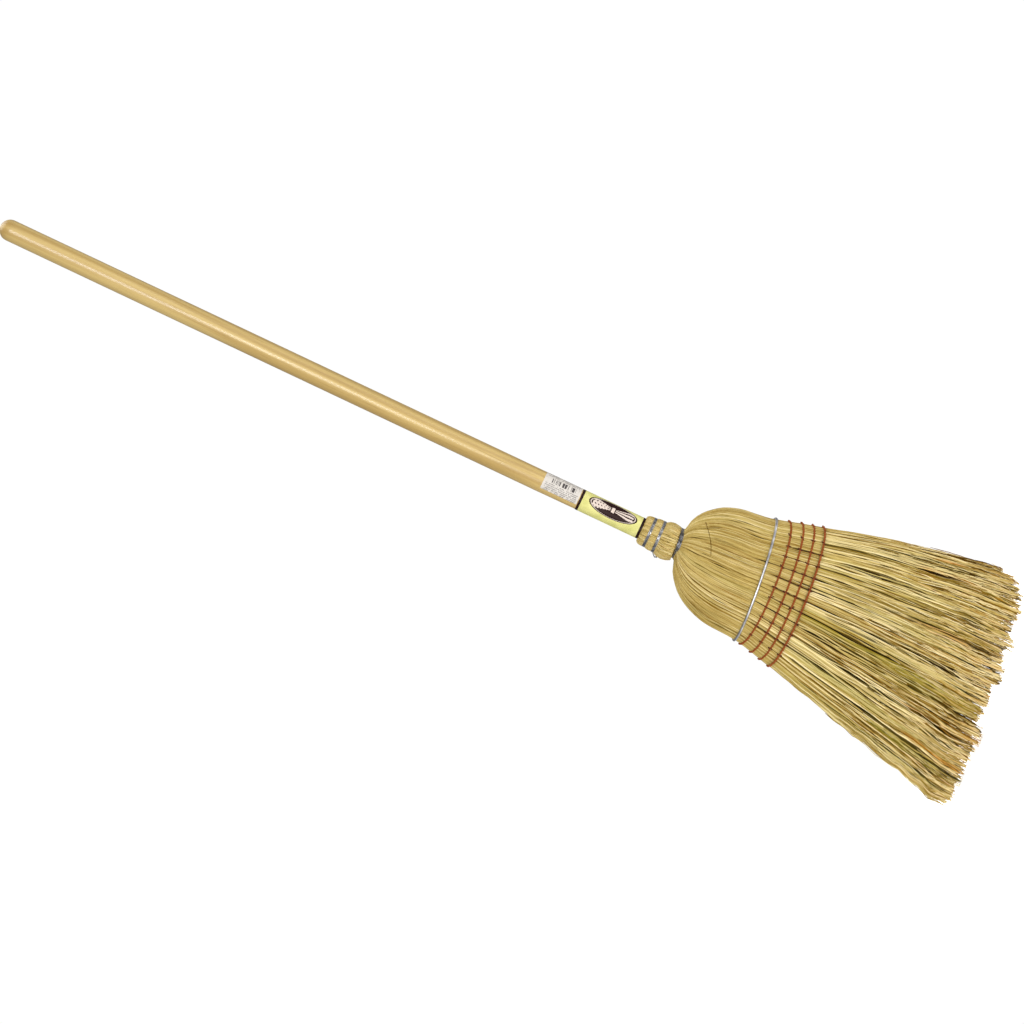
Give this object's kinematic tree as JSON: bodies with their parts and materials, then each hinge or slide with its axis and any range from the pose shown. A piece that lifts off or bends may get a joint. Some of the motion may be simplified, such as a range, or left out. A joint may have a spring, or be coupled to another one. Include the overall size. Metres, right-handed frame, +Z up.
{
  "type": "curling broom",
  "caption": "Straight-handled corn broom for curling: domed wooden stick, wire-bound straw shoulders, a flat twine-stitched head and a slanted, fanned skirt that flexes.",
  "frame": {"origin": "on the handle's axis, level with the lowest trimmed straw tip", "axes": "+Z up the handle from the sweeping edge to the domed top, X across the width of the head, Y through its thickness, -Y the side with the sticker"},
  "size_m": [0.3147, 0.0632, 1.4482],
  "materials": {
    "wood_handle": "satin",
    "label_paper": "gloss",
    "sticker_paper": "matte",
    "corn_straw": "matte",
    "corn_stalks": "matte",
    "corn_skirt": "matte",
    "steel_wire": "satin",
    "tack_steel": "satin",
    "twine": "matte"
  },
  "bodies": {
    "handle_head": {"handle": "wood_handle", "wrap_label": "label_paper", "info_sticker": "sticker_paper", "inside_corn": "corn_straw", "shoulder_corn_left": "corn_straw", "shoulder_corn_right": "corn_straw", "hurl_front": "corn_straw", "hurl_back": "corn_straw", "collar_stalks": "corn_stalks", "inner_binding_wire": "steel_wire", "neck_wire_upper": "steel_wire", "neck_wire_middle": "steel_wire", "neck_wire_waist": "steel_wire", "shoulder_band": "steel_wire", "wire_start_tack": "tack_steel", "wire_end_tack": "tack_steel", "stitch_row_1": "twine", "stitch_row_2": "twine", "stitch_row_3": "twine", "stitch_row_4": "twine"},
    "skirt": {"skirt_lock_01": "corn_skirt", "skirt_lock_02": "corn_skirt", "skirt_lock_03": "corn_skirt", "skirt_lock_04": "corn_skirt", "skirt_lock_05": "corn_skirt", "skirt_lock_06": "corn_skirt", "skirt_lock_07": "corn_skirt", "skirt_lock_08": "corn_skirt", "skirt_lock_09": "corn_skirt", "skirt_lock_10": "corn_skirt"}
  },
  "joints": [
    {"name": "skirt_flex", "type": "hinge", "parent": "handle_head", "child": "skirt", "pos_m": [0, 0, 0.258], "axis": [0.9959, 0, 0.0906], "range_deg": [-22, 22], "stiffness_Nm_per_rad": 18}
  ]
}
